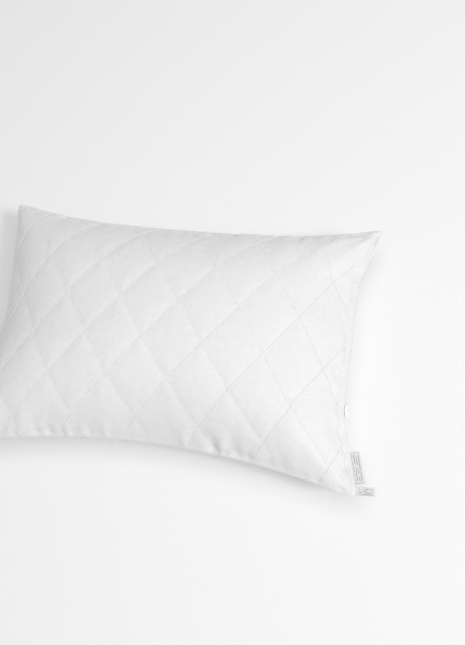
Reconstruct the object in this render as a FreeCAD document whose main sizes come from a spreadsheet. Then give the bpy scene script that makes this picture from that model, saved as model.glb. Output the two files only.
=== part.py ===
import FreeCAD, Part
import Sketcher
import math
import os

# A bed pillow, 400 x 600 mm flat, lying on its underside.
# Two quilted panels (outer fabric, wadding and backing, held by quilting thread) are sewn round the edge,
# with a short zip in one short side, and are filled with loose fibre.
# X runs along the length, towards the zip. Y runs across the width. Z is up.
# The origin is in the middle of the patch that the pillow rests on. All sizes are in millimetres.

DIMENSIONS = [
    # Outline of the filled pillow at its seam
    ("corner_reach_x", 296.0),  # middle to corner, along the length
    ("corner_reach_y", 200.0),  # middle to corner, across the width
    # How far the filling draws in the middle of each side
    ("pull_in_plain_end", 29.0),
    ("pull_in_zip_end", 27.0),
    ("pull_in_front", 36.0),
    ("pull_in_back", 25.0),
    ("seam_height", 72.0),
    ("crown_rise", 88.0),  # seam to the top of the crown
    ("crown_drop", 78.0),  # seam to the lowest point that the underside would reach if nothing pressed on it
    # Layers: how far their outlines are drawn in from the seam, and their depths below the crown's surface
    ("fabric_depth", 0.6),
    ("wadding_inset_from", 4.5),
    ("wadding_from", 0.95),
    ("wadding_inset_to", 9.5),
    ("wadding_to", 6.9),
    ("backing_inset_from", 9.9),
    ("backing_from", 7.25),
    ("backing_inset_to", 10.4),
    ("backing_to", 7.75),
    ("filling_inset", 12.4),
    ("filling_from", 8.1),
    ("seam_room", 1.5),  # half the height left free for the turned-in edges
    # Turned-in edges of the two panels, sewn together and overlocked
    ("allowance_from", 1.6),
    ("allowance_to", 11.0),
    ("allowance_half_height", 0.55),
    ("edge_clearance", 0.05),  # between the turned-in edges and the threads round them
    ("overlock_width", 2.4),
    ("overlock_half_height", 1.1),
    ("thread_size", 0.35),
    ("seam_line_depth", 5.0),
    # Quilting, seen from above
    ("diamond_length", 85.0),
    ("diamond_width", 109.0),
    ("quilting_shift_x", -57.6),
    ("quilting_shift_y", 23.7),
    ("quilting_thread_width", 0.7),
    ("quilting_thread_height", 0.5),
    ("thread_lift", 0.08),  # gap between a thread on the outside and the fabric under it
    # Zip
    ("zip_middle_y", 5.0),
    ("zip_length", 200.0),
    ("zip_opening", 8.4),
    ("tape_thickness", 0.6),
    ("tape_set_back", 2.2),  # from the side's outer surface to the tape's inner face
    ("tape_edge", 0.9),
    ("tape_flat_height", 4.4),
    ("tape_full_height", 12.0),
    ("tape_lean", 3.6),
    ("coil_gap", 1.1),  # between the two rows of the coil, where the slider's neck runs
    ("coil_width", 1.55),
    ("coil_height", 1.5),
    ("topstitch_height", 6.8),
    ("tack_length", 6.8),
    ("tack_width", 1.6),
    ("tack_height", 0.5),
    ("zip_end_room", 4.0),  # how far the tapes run past each end of the zip's opening
    # Slider
    ("slider_length", 9.0),
    ("slider_width", 7.0),
    ("slider_plate", 1.1),
    ("slider_play", 0.35),
    ("flange_width", 0.9),
    ("neck_width", 0.6),
    ("neck_length", 2.6),
    ("arch_length", 5.4),
    ("arch_width", 1.5),
    ("arch_wall", 0.8),
    ("slider_start", -89.0),  # the slider's place when the zip is closed
    # Pull tab
    ("pivot_rise", 1.9),  # the pull's pivot, above the slider's upper plate
    ("pull_length", 15.0),
    ("pull_width", 4.8),
    ("pull_thickness", 1.2),
    ("pull_window_length", 4.2),
    ("pull_window_width", 2.4),
    ("pull_hole", 1.8),
    ("pull_hole_inset", 3.4),  # from the free end to the middle of its hole
    ("pull_corner", 1.6),
    # Labels in the side seam
    ("label_thickness", 0.4),
    ("label_slot_depth", 45.0),  # room for the labels' sewn-in edges, inwards from the corner
    ("label_slot_high_y", -134.0),
    ("label_room", 0.1),  # left free on each face of a label
    ("care_label_middle_x", 287.5),
    ("care_label_middle_y", -162.0),
    ("care_label_lean", 15.4),  # degrees: the seam's slant between the zip and the corner
    ("care_label_root", 8.0),  # how far it reaches into the seam
    ("care_label_tip", 15.0),  # and out of it
    ("care_label_width", 43.0),
    ("size_label_middle_x", 296.0),
    ("size_label_middle_y", -190.95),
    ("size_label_lean", 0.0),
    ("size_label_root", 9.0),
    ("size_label_tip", 26.0),
    ("size_label_width", 11.5),
]

PROFILE_POWER = 2.7  # squareness of the crown
PROFILE_ROUND = 0.55  # roundness of the rim
PLAIN_END_POWER = 1.4  # the plain short side draws in to a slight point
FRONT_POWER = 2.0  # the front side curves in evenly
BACK_POWER = 3.0  # the back side curves in near its ends, and runs nearly straight between
ZIP_END_POWER = 3.5  # the zip keeps the middle of its side straight
DIAGONALS = 8  # on each side of the first
GRID = 17  # points across each panel's surface
WORK_AREA = (800.0, 600.0, 400.0)  # a box larger than the pillow

document = FreeCAD.newDocument("pillow")
sheet = document.addObject("Spreadsheet::Sheet", "Dims")
size = {}
for row, (alias, value) in enumerate(DIMENSIONS, start=1):
    sheet.set(f"A{row}", alias)
    sheet.set(f"B{row}", str(value))
    sheet.setAlias(f"B{row}", alias)
    size[alias] = value
document.recompute()

subparts = []


def keep(item, label):
    """Count this object as a sub-part of the pillow."""
    item.Label = label
    subparts.append(item)
    return item


# ---------------------------------------------------------------- curved panels


def profile(across):
    """Height of the crown at a place from -1 to 1 across the panel, from 0 at the rim to 1 in the middle."""
    return max(0.0, 1.0 - abs(across) ** PROFILE_POWER) ** PROFILE_ROUND


def outline_point(along, across, inset):
    """A place in the plan outline drawn in by this inset. Along and across run from -1 to 1."""
    if along > 0:
        drawn_x = size["pull_in_zip_end"] * (1.0 - abs(across) ** ZIP_END_POWER)
    else:
        drawn_x = size["pull_in_plain_end"] * (1.0 - abs(across) ** PLAIN_END_POWER)
    if across > 0:
        drawn_y = size["pull_in_back"] * (1.0 - abs(along) ** BACK_POWER)
    else:
        drawn_y = size["pull_in_front"] * (1.0 - abs(along) ** FRONT_POWER)
    reach_x = size["corner_reach_x"] - inset - drawn_x
    reach_y = size["corner_reach_y"] - inset - drawn_y
    return along * reach_x, across * reach_y


def panel_surface(inset, base, rise):
    """Crowned face with its rim at the height base and its middle above it by rise, or below."""
    rows = []
    for i in range(GRID):
        along = math.sin(math.pi * (i / (GRID - 1) - 0.5))
        row = []
        for j in range(GRID):
            across = math.sin(math.pi * (j / (GRID - 1) - 0.5))
            x, y = outline_point(along, across, inset)
            row.append(FreeCAD.Vector(x, y, base + rise * profile(along) * profile(across)))
        rows.append(row)
    surface = Part.BSplineSurface()
    surface.interpolate(rows)
    return surface.toShape()


def panel_block(inset, base, rise):
    """Solid between a crowned face and the flat plane through its rim."""
    crown = panel_surface(inset, base, rise)
    floor = Part.Face(Part.Wire(Part.__sortEdges__(crown.Edges)))
    solid = Part.makeSolid(Part.makeShell([crown, floor]))
    if solid.Volume < 0:
        solid.reverse()
    return solid


def add_block(name, side, inset, depth, room=0.0):
    """One half of the pillow, with its outline drawn in by inset and its crown lowered by depth.

    The side is 1 for the upper half and -1 for the lower half, which is flat where it rests.
    The room is left free between the seam and the block.
    """
    base = size["seam_height"] + side * room
    block = document.addObject("Part::Feature", name)
    if side > 0:
        block.Shape = panel_block(inset, base, size["crown_rise"] - depth - room)
    else:
        crown = panel_block(inset, base, -(size["crown_drop"] - depth - room))
        corner = FreeCAD.Vector(-WORK_AREA[0] / 2, -WORK_AREA[1] / 2, depth)
        block.Shape = crown.common(Part.makeBox(*WORK_AREA, corner))
    return block


def add_outline_plate(name, inset, half_height):
    """Flat plate at the seam, with the pillow's outline drawn in by this inset."""
    top = size["seam_height"] + half_height
    corners = [(-1, -1), (1, -1), (1, 1), (-1, 1), (-1, -1)]
    edges = []
    for (u0, v0), (u1, v1) in zip(corners, corners[1:]):
        points = []
        for k in range(GRID):
            share = 0.5 - 0.5 * math.cos(math.pi * k / (GRID - 1))
            x, y = outline_point(u0 + (u1 - u0) * share, v0 + (v1 - v0) * share, inset)
            points.append(FreeCAD.Vector(x, y, top - 2 * half_height))
        curve = Part.BSplineCurve()
        curve.interpolate(points)
        edges.append(curve.toShape())
    plate = document.addObject("Part::Feature", name)
    plate.Shape = Part.Face(Part.Wire(edges)).extrude(FreeCAD.Vector(0, 0, 2 * half_height))
    return plate


def cut(name, base, tool):
    """Base with the tool taken away."""
    item = document.addObject("Part::Cut", name)
    item.Base = base
    item.Tool = tool
    return item


def common(name, base, tool):
    """What base and tool share."""
    item = document.addObject("Part::Common", name)
    item.Base = base
    item.Tool = tool
    return item


def fuse(name, items):
    """The items joined into one."""
    item = document.addObject("Part::MultiFuse", name)
    item.Shapes = items
    return item


def add_box(name, corner, sides):
    """Box from its lowest corner and its three sides, each a number or an expression on the sheet."""
    item = document.addObject("Part::Box", name)
    for path, value in zip(("Length", "Width", "Height"), sides):
        item.setExpression(path, str(value))
    for axis, value in zip("xyz", corner):
        item.setExpression(f"Placement.Base.{axis}", str(value))
    return item


ZIP_INSIDE_X = 252.0  # everything in the zip's end of the pillow lies beyond this
PAST_END = 80.0  # reaches out of the pillow from there

# Space kept free for the zip: a slot in the outer fabric, and a deeper recess in the layers behind it.
zip_slot = add_box(
    "zip_slot",
    (ZIP_INSIDE_X, "Dims.zip_middle_y - Dims.zip_length / 2", "Dims.seam_height - Dims.zip_opening / 2"),
    (PAST_END, "Dims.zip_length", "Dims.zip_opening"),
)
zip_recess = add_box(
    "zip_recess",
    (
        ZIP_INSIDE_X,
        "Dims.zip_middle_y - Dims.zip_length / 2 - 2 * Dims.zip_end_room",
        "Dims.seam_height - Dims.tape_full_height - 2",
    ),
    (PAST_END, "Dims.zip_length + 4 * Dims.zip_end_room", "2 * Dims.tape_full_height + 4"),
)
label_slot = add_box(
    "label_slot",
    (
        "Dims.corner_reach_x - Dims.label_slot_depth",
        "-Dims.corner_reach_y",
        "Dims.seam_height - Dims.label_thickness / 2 - Dims.label_room",
    ),
    (
        PAST_END,
        "Dims.corner_reach_y + Dims.label_slot_high_y",
        "Dims.label_thickness + 2 * Dims.label_room",
    ),
)
document.recompute()

for half, side in (("top", 1), ("bottom", -1)):
    outside = add_block(f"{half}_outside", side, 0.0, 0.0)
    under_fabric = add_block(f"{half}_under_fabric", side, size["fabric_depth"], size["fabric_depth"])
    fabric = cut(f"{half}_fabric_shell", outside, under_fabric)
    fabric = cut(f"{half}_fabric_with_slot", fabric, zip_slot)
    keep(cut(f"{half}_fabric", fabric, label_slot), f"{half}_panel_fabric")

    for layer in ("wadding", "backing"):
        room = size["seam_room"]
        outer = add_block(
            f"{half}_{layer}_outer", side, size[f"{layer}_inset_from"], size[f"{layer}_from"], room
        )
        inner = add_block(f"{half}_{layer}_inner", side, size[f"{layer}_inset_to"], size[f"{layer}_to"], room)
        shell = cut(f"{half}_{layer}_shell", outer, inner)
        keep(cut(f"{half}_{layer}", shell, zip_recess), f"{half}_panel_{layer}")

# Loose fibre filling, inside the turned-in seam.
filling_top = add_block("filling_top", 1, size["filling_inset"], size["filling_from"])
filling_bottom = add_block("filling_bottom", -1, size["filling_inset"], size["filling_from"])
filling = fuse("filling_whole", [filling_top, filling_bottom])
keep(cut("filling", filling, zip_recess), "fibre_filling")


# ---------------------------------------------------------------- seam round the edge


def add_ring(name, start, end, half_height):
    """Flat ring at the seam between two depths, left out along the zip."""
    outer = add_outline_plate(f"{name}_outer", start, half_height)
    inner = add_outline_plate(f"{name}_inner", end, half_height + 1.0)
    return cut(f"{name}_open", cut(f"{name}_whole", outer, inner), zip_recess)


allowance = add_ring(
    "allowance", size["allowance_from"], size["allowance_to"], size["allowance_half_height"]
)
keep(cut("seam_allowance", allowance, label_slot), "seam_allowance")

# Overlock thread wraps the raw inner edge of the turned-in fabric.
overlock_start = size["allowance_to"] - size["overlock_width"]
wrap = add_ring("overlock", overlock_start, size["allowance_to"] + 0.6, size["overlock_half_height"])
edge_height = size["allowance_half_height"] + size["edge_clearance"]
edge_room = add_outline_plate("edge_room_outer", 0.0, edge_height)
edge_room_inner = add_outline_plate(
    "edge_room_inner", size["allowance_to"] + size["edge_clearance"], size["tape_full_height"]
)
edge_space = cut("edge_space", edge_room, edge_room_inner)
keep(cut("overlock_thread", wrap, edge_space), "overlock_thread")

# The lockstitched seam line shows as a thread on each face of the turned-in edges.
seam_line = add_ring(
    "seam_line",
    size["seam_line_depth"],
    size["seam_line_depth"] + 2 * size["thread_size"],
    edge_height + size["thread_size"],
)
keep(cut("seam_stitching", seam_line, edge_space), "seam_stitching")


# ---------------------------------------------------------------- quilting


def add_diagonals(name, direction):
    """Thin upright plates on the diagonals of the quilting, all leaning the same way."""
    width = size["quilting_thread_width"]
    reach = WORK_AREA[0]
    angle = math.degrees(math.atan2(direction * size["diamond_width"], size["diamond_length"]))
    plates = []
    for step in range(-DIAGONALS, DIAGONALS + 1):
        plate = Part.makeBox(2 * reach, width, reach, FreeCAD.Vector(-reach, -width / 2, -reach / 2))
        plate.rotate(FreeCAD.Vector(0, 0, 0), FreeCAD.Vector(0, 0, 1), angle)
        shift_x = size["quilting_shift_x"] + step * size["diamond_length"]
        plate.translate(FreeCAD.Vector(shift_x, size["quilting_shift_y"], 0))
        plates.append(plate)
    item = document.addObject("Part::Feature", name)
    item.Shape = Part.makeCompound(plates)
    return item


rising = add_diagonals("rising_diagonals", 1)
falling = add_diagonals("falling_diagonals", -1)
# Quilting stops a little short of the seam, so the panels' own edges stay clear.
field = add_outline_plate("quilted_field", 3.0, WORK_AREA[2] / 2)
floor_room = add_box("above_the_rest", (-WORK_AREA[0] / 2, -WORK_AREA[1] / 2, 0.02), WORK_AREA)
for half, side in (("top", 1), ("bottom", -1)):
    height = size["quilting_thread_height"]
    lift = size["thread_lift"]
    over = add_block(f"{half}_thread_over", side, -height, -height)
    under = add_block(f"{half}_thread_under", side, -lift, -lift)
    skin = common(f"{half}_thread_skin", cut(f"{half}_thread_shell", over, under), field)
    skin = common(f"{half}_thread_above_rest", skin, floor_room)
    up = common(f"{half}_rising_thread", skin, rising)
    down = common(f"{half}_falling_thread", skin, falling)
    keep(fuse(f"{half}_quilting", [up, down]), f"{half}_quilting_thread")


# ---------------------------------------------------------------- zip


def origin_plane(body, role):
    """One of the body's own origin planes."""
    return next(item for item in body.Origin.OriginFeatures if item.Role == role)


def add_sketch(body, name, role, offset=None):
    """Sketch on a plane of the body's origin, set off along the plane's normal by an expression."""
    sketch = body.newObject("Sketcher::SketchObject", name)
    sketch.AttachmentSupport = [(origin_plane(body, role), "")]
    sketch.MapMode = "FlatFace"
    if offset is not None:
        sketch.setExpression("AttachmentOffset.Base.z", offset)
    return sketch


def bind_x(sketch, line, end, expression):
    """Hold one end of a line at this distance along the sketch's first axis."""
    index = sketch.addConstraint(Sketcher.Constraint("DistanceX", -1, 1, line, end, 1.0))
    sketch.setExpression(f"Constraints[{index}]", expression)


def bind_y(sketch, line, end, expression):
    """Hold one end of a line at this distance along the sketch's second axis."""
    index = sketch.addConstraint(Sketcher.Constraint("DistanceY", -1, 1, line, end, 1.0))
    sketch.setExpression(f"Constraints[{index}]", expression)


def add_polygon(sketch, corners):
    """Closed outline through corners, each an (x, y) pair of expressions, held to the sketch's axes."""
    first = sketch.GeometryCount
    count = len(corners)
    for k in range(count):
        angle = 2 * math.pi * k / count
        start = FreeCAD.Vector(math.cos(angle), math.sin(angle), 0)
        angle = 2 * math.pi * (k + 1) / count
        end = FreeCAD.Vector(math.cos(angle), math.sin(angle), 0)
        sketch.addGeometry(Part.LineSegment(start, end), False)
    for k in range(count):
        following = first + (k + 1) % count
        sketch.addConstraint(Sketcher.Constraint("Coincident", first + k, 2, following, 1))
        bind_x(sketch, first + k, 1, corners[k][0])
        bind_y(sketch, first + k, 1, corners[k][1])


def add_rectangle(sketch, low, high):
    """Rectangle between two corners, each an (x, y) pair of expressions."""
    add_polygon(sketch, [low, (high[0], low[1]), high, (low[0], high[1])])


def add_pad(body, sketch, length, both_ways=False):
    """Pad the sketch by an expression, along its normal or half each way."""
    pad = body.newObject("PartDesign::Pad", f"{sketch.Name}_pad")
    pad.Profile = sketch
    pad.setExpression("Length", length)
    pad.Midplane = both_ways
    return pad


def add_pocket(body, sketch, length, both_ways=False):
    """Cut the sketch's outline out of the body."""
    pocket = body.newObject("PartDesign::Pocket", f"{sketch.Name}_pocket")
    pocket.Profile = sketch
    pocket.setExpression("Length", length)
    pocket.Midplane = both_ways
    return pocket


def place_at_zip(item):
    """Put the item's origin at the seam's height, in the middle of the zip's side of the pillow."""
    item.setExpression("Placement.Base.x", "Dims.corner_reach_x - Dims.pull_in_zip_end")
    item.setExpression("Placement.Base.y", "Dims.zip_middle_y")
    item.setExpression("Placement.Base.z", "Dims.seam_height")


def add_body(label):
    """Body whose own origin is at the seam's height, in the middle of the side that holds the zip."""
    body = document.addObject("PartDesign::Body", label)
    place_at_zip(body)
    return keep(body, label)


coil_base = "Dims.tape_thickness - Dims.tape_set_back"
# The two halves of the zip mirror each other about the seam. Their sections lie in the XZ plane, whose
# normal points along -Y.
for label, sign in (("upper", "1"), ("lower", "-1")):
    tape = add_body(f"zip_tape_{label}")
    section = add_sketch(tape, f"tape_section_{label}", "XZ_Plane")
    inner_face = "-Dims.tape_set_back"
    outer_face = "Dims.tape_thickness - Dims.tape_set_back"
    edge = f"{sign} * Dims.tape_edge"
    bend = f"{sign} * Dims.tape_flat_height"
    top = f"{sign} * Dims.tape_full_height"
    add_polygon(
        section,
        [
            (inner_face, edge),
            (outer_face, edge),
            (outer_face, bend),
            (f"{outer_face} - Dims.tape_lean", top),
            (f"{inner_face} - Dims.tape_lean", top),
            (inner_face, bend),
        ],
    )
    add_pad(tape, section, "Dims.zip_length + 2 * Dims.zip_end_room", both_ways=True)

    coil = add_body(f"zip_coil_{label}")
    section = add_sketch(coil, f"coil_section_{label}", "XZ_Plane")
    add_rectangle(
        section,
        (coil_base, f"{sign} * Dims.coil_gap / 2"),
        (f"{coil_base} + Dims.coil_height", f"{sign} * (Dims.coil_gap / 2 + Dims.coil_width)"),
    )
    add_pad(coil, section, "Dims.zip_length - 2", both_ways=True)

# Bar tacks sewn across both tapes, beyond each end of the coil, just clear of the tapes' outer faces.
tack_plane = f"{coil_base} + 0.02"
tacks = []
for name, direction in (("open", "1"), ("closed", "-1")):
    tack = document.addObject("PartDesign::Body", f"tack_{name}")
    tack_outline = add_sketch(tack, f"tack_outline_{name}", "YZ_Plane", tack_plane)
    place = f"{direction} * (Dims.zip_length / 2 + Dims.tack_width)"
    add_rectangle(
        tack_outline,
        (f"{place} - Dims.tack_width / 2", "-Dims.tack_length / 2"),
        (f"{place} + Dims.tack_width / 2", "Dims.tack_length / 2"),
    )
    add_pad(tack, tack_outline, "Dims.tack_height")
    tacks.append(tack)
end_tacks = document.addObject("Part::Compound", "end_tacks")
end_tacks.Links = tacks
place_at_zip(end_tacks)
keep(end_tacks, "zip_end_tacks")

# Topstitching that holds each tape to the folded edge of its panel.
for half, side, label in (("top", 1, "upper"), ("bottom", -1, "lower")):
    height = 1.6 * size["thread_size"]
    lift = size["thread_lift"]
    over = add_block(f"topstitch_over_{half}", side, -height, -height)
    under = add_block(f"topstitch_under_{half}", side, -lift, -lift)
    row = add_box(
        f"topstitch_row_{label}",
        (
            ZIP_INSIDE_X,
            "Dims.zip_middle_y - Dims.zip_length / 2 - Dims.zip_end_room",
            f"Dims.seam_height + {side} * Dims.topstitch_height - Dims.thread_size",
        ),
        (PAST_END, "Dims.zip_length + 2 * Dims.zip_end_room", "2 * Dims.thread_size"),
    )
    skin = cut(f"topstitch_skin_{label}", over, under)
    keep(common(f"topstitch_{label}", skin, row), f"zip_topstitch_{label}")

# Slider: two plates joined by a thin neck that runs between the coils, with flanges that hold the coils in.
coil_top = f"({coil_base} + Dims.coil_height)"
plate_under = f"({coil_top} + Dims.slider_play)"
plate_over = f"({plate_under} + Dims.slider_plate)"
base_over = "(-Dims.tape_set_back - Dims.slider_play)"
base_under = f"({base_over} - Dims.slider_plate)"
half_length = "Dims.slider_length / 2"
half_width = "Dims.slider_width / 2"

slider = add_body("zip_slider")
slider.setExpression("Placement.Base.y", "Dims.slider_start")
outline = [
    (f"-{half_length}", "-0.7 * Dims.slider_width / 2"),
    ("0", f"-{half_width}"),
    (half_length, "-0.8 * Dims.slider_width / 2"),
    (half_length, "0.8 * Dims.slider_width / 2"),
    ("0", half_width),
    (f"-{half_length}", "0.7 * Dims.slider_width / 2"),
]
base_plate = add_sketch(slider, "base_plate", "YZ_Plane", base_under)
add_polygon(base_plate, outline)
add_pad(slider, base_plate, "Dims.slider_plate")
neck = add_sketch(slider, "neck", "YZ_Plane", f"{base_over} - 0.2")
add_rectangle(
    neck,
    (f"{half_length} - Dims.neck_length", "-Dims.neck_width / 2"),
    (f"{half_length} - 0.4", "Dims.neck_width / 2"),
)
add_pad(slider, neck, f"{plate_under} - {base_over} + 0.4")
upper_plate = add_sketch(slider, "upper_plate", "YZ_Plane", plate_under)
add_polygon(upper_plate, outline)
add_pad(slider, upper_plate, "Dims.slider_plate")
for name, sign in (("flange_high", "1"), ("flange_low", "-1")):
    flange = add_sketch(slider, name, "YZ_Plane", f"{coil_base} + Dims.slider_play")
    add_rectangle(
        flange,
        ("-0.6 * Dims.slider_length / 2", f"{sign} * ({half_width} - Dims.flange_width)"),
        ("0.6 * Dims.slider_length / 2", f"{sign} * ({half_width} - 0.1)"),
    )
    add_pad(slider, flange, "Dims.coil_height + 0.1")
arch = add_sketch(slider, "arch", "XY_Plane")
arch_top = f"{plate_over} + Dims.pivot_rise + 0.6 * Dims.pull_thickness + 0.5 + Dims.arch_wall"
half_arch = "Dims.arch_length / 2"
add_polygon(
    arch,
    [
        (f"{plate_over} - 0.1", f"-{half_arch}"),
        (f"{arch_top} - Dims.arch_wall", f"-{half_arch}"),
        (arch_top, f"-{half_arch} + Dims.arch_wall"),
        (arch_top, f"{half_arch} - Dims.arch_wall"),
        (f"{arch_top} - Dims.arch_wall", half_arch),
        (f"{plate_over} - 0.1", half_arch),
        (f"{plate_over} - 0.1", f"{half_arch} - Dims.arch_wall"),
        (f"{arch_top} - Dims.arch_wall", f"{half_arch} - Dims.arch_wall"),
        (f"{arch_top} - Dims.arch_wall", f"-{half_arch} + Dims.arch_wall"),
        (f"{plate_over} - 0.1", f"-{half_arch} + Dims.arch_wall"),
    ],
)
add_pad(slider, arch, "Dims.arch_width", both_ways=True)

# Pull tab: a flat tab with a window, whose round end bar turns under the slider's arch.
pull = add_body("zip_pull")
pull.setExpression("Placement.Base.y", "Dims.slider_start")
pull_plane = f"{plate_over} + Dims.pivot_rise - Dims.pull_thickness / 2"
tab = add_sketch(pull, "tab", "YZ_Plane", pull_plane)
half_pull = "Dims.pull_width / 2"
add_polygon(
    tab,
    [
        ("0", f"-{half_pull}"),
        ("Dims.pull_length - Dims.pull_corner", f"-{half_pull}"),
        ("Dims.pull_length", f"-{half_pull} + Dims.pull_corner"),
        ("Dims.pull_length", f"{half_pull} - Dims.pull_corner"),
        ("Dims.pull_length - Dims.pull_corner", half_pull),
        ("0", half_pull),
    ],
)
add_pad(pull, tab, "Dims.pull_thickness")
window = add_sketch(pull, "window", "YZ_Plane", f"{pull_plane} + Dims.pull_thickness")
add_rectangle(
    window,
    ("-0.1", "-Dims.pull_window_width / 2"),
    ("Dims.pull_thickness / 2 + Dims.pull_window_length", "Dims.pull_window_width / 2"),
)
add_pocket(pull, window, "2 * Dims.pull_thickness")
eye = add_sketch(pull, "eye", "YZ_Plane", f"{pull_plane} + Dims.pull_thickness")
eye.addGeometry(Part.Circle(FreeCAD.Vector(15, 0, 0), FreeCAD.Vector(0, 0, 1), 1.0), False)
bind_x(eye, 0, 3, "Dims.pull_length - Dims.pull_hole_inset")
eye.addConstraint(Sketcher.Constraint("PointOnObject", 0, 3, -1))
radius = eye.addConstraint(Sketcher.Constraint("Radius", 0, 1.0))
eye.setExpression(f"Constraints[{radius}]", "Dims.pull_hole / 2")
add_pocket(pull, eye, "2 * Dims.pull_thickness")
bar = add_sketch(pull, "bar", "XY_Plane")
bar.addGeometry(Part.Circle(FreeCAD.Vector(5, 0, 0), FreeCAD.Vector(0, 0, 1), 1.0), False)
bind_x(bar, 0, 3, f"{pull_plane} + Dims.pull_thickness / 2")
bar.addConstraint(Sketcher.Constraint("PointOnObject", 0, 3, -1))
radius = bar.addConstraint(Sketcher.Constraint("Radius", 0, 1.0))
bar.setExpression(f"Constraints[{radius}]", "Dims.pull_thickness / 2")
add_pad(pull, bar, "Dims.pull_width", both_ways=True)


# ---------------------------------------------------------------- labels

# Each label lies across the seam, turned to follow it: its root is sewn in, and its tip hangs out.
for label in ("care_label", "size_label"):
    body = document.addObject("PartDesign::Body", label)
    body.Placement.Rotation = FreeCAD.Rotation(FreeCAD.Vector(0, 0, 1), size[f"{label}_lean"])
    body.setExpression("Placement.Base.x", f"Dims.{label}_middle_x")
    body.setExpression("Placement.Base.y", f"Dims.{label}_middle_y")
    body.setExpression("Placement.Base.z", "Dims.seam_height")
    outline_sketch = add_sketch(body, f"{label}_outline", "XY_Plane")
    add_rectangle(
        outline_sketch,
        (f"-Dims.{label}_root", f"-Dims.{label}_width / 2"),
        (f"Dims.{label}_tip", f"Dims.{label}_width / 2"),
    )
    add_pad(body, outline_sketch, "Dims.label_thickness", both_ways=True)
    keep(body, label)

document.recompute()

# ---------------------------------------------------------------- check and write

for item in document.Objects:
    if "Invalid" in item.State or "Error" in item.State:
        raise RuntimeError(f"{item.Label} is not right: {item.State}")
os.makedirs("parts", exist_ok=True)
for item in subparts:
    shape = item.Shape
    if shape.isNull() or not shape.isValid():
        raise RuntimeError(f"{item.Label} has no valid shape")
    shape.exportStep(os.path.join("parts", f"{item.Label}.step"))
    print(f"{item.Label}: {len(shape.Solids)} solid(s), {shape.Volume:.1f} mm3")
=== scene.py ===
"""A quilted microfibre bed pillow with a zip in one short side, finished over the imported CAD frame.

One cloth simulation inflates the two panels together. Every layer under them (wadding, backing, filling)
is the same inflated surface moved inwards, with less and less room near the seam. Lengths are in metres, in
the CAD frame: X along the pillow, Y across it, Z up, with the floor at z = 0.

Words used below:
    along, across   place on a panel as a share of its half length and half width, from -1 to 1
    flat place      the same place on the cloth as it was cut, in metres from the middle
    relief          how far the quilted cloth stands above or below the plain inflated surface
"""

import math
import bpy
import numpy as np
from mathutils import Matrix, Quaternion, Vector


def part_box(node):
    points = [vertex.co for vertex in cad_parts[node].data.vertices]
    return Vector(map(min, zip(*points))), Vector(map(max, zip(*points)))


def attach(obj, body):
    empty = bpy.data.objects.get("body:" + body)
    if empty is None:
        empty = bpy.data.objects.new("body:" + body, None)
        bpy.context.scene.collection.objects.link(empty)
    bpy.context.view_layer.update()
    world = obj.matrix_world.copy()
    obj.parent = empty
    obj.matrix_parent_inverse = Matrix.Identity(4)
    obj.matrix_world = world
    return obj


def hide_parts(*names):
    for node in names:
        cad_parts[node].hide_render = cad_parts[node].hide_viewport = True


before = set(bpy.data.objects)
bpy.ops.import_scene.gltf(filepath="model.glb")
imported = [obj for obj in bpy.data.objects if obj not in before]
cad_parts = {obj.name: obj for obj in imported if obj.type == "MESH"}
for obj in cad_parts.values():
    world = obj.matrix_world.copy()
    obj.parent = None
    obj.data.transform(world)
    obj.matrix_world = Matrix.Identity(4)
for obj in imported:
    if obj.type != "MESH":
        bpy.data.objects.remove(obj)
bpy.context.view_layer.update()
MM = 0.001

# ---- Sizes ----
panel_low, panel_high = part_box("top_panel_fabric")
REACH_X = panel_high.x
REACH_Y = panel_high.y
SEAM_Z = panel_low.z
CROWN = panel_high.z - SEAM_Z
FLAT_LENGTH = 600 * MM
FLAT_WIDTH = 400 * MM
HALF = np.array([FLAT_LENGTH / 2, FLAT_WIDTH / 2])
# How far the filling draws in the middle of each side, and the power of each side's bow
PULL_IN_PLAIN_END, PLAIN_END_POWER = 29 * MM, 1.4
PULL_IN_ZIP_END = 27 * MM  # the zip is stiff, so that side is straight along it and bends at its ends
PULL_IN_FRONT, FRONT_POWER = 36 * MM, 2.0
PULL_IN_BACK, BACK_POWER = 25 * MM, 3.0
SQUARE_CORNER = 0.965  # beyond this share of its half length, a side runs square to the corner

TOP, BOTTOM = 1, -1  # a panel's name is the sign of its way out

# Quilting: diamonds, in flat metres
DIAMOND_HALF_LENGTH = 47.3 * MM
DIAMOND_HALF_WIDTH = 68 * MM
CROSSING = (-64.4 * MM, 29.6 * MM)
CHANNEL_DEPTH = 1.5 * MM  # the soft dip of the padding towards a line of stitches
CHANNEL_WIDTH = 13 * MM
CREASE_DEPTH = 0.35 * MM  # the narrow crease that the thread itself pulls in
CREASE_WIDTH = 2.2 * MM
LINE_GAP = (DIAMOND_HALF_LENGTH * DIAMOND_HALF_WIDTH
            / math.hypot(DIAMOND_HALF_LENGTH, DIAMOND_HALF_WIDTH))

CLOTH_THICKNESS = 0.5 * MM
GRID_STEP = 2.5 * MM
EDGE_STEPS = tuple(step * MM for step in (0.4, 0.8, 1.3, 2, 2.8, 3.6, 4.4, 5.4, 6.8))

coil_low, coil_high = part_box("zip_coil_upper")
ZIP_START = coil_low.y - 1 * MM
ZIP_END = coil_high.y + 1 * MM
LIP_HEIGHT = 4.2 * MM  # half the slot that the zip shows in
LIP_RAMP = 14 * MM


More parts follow.
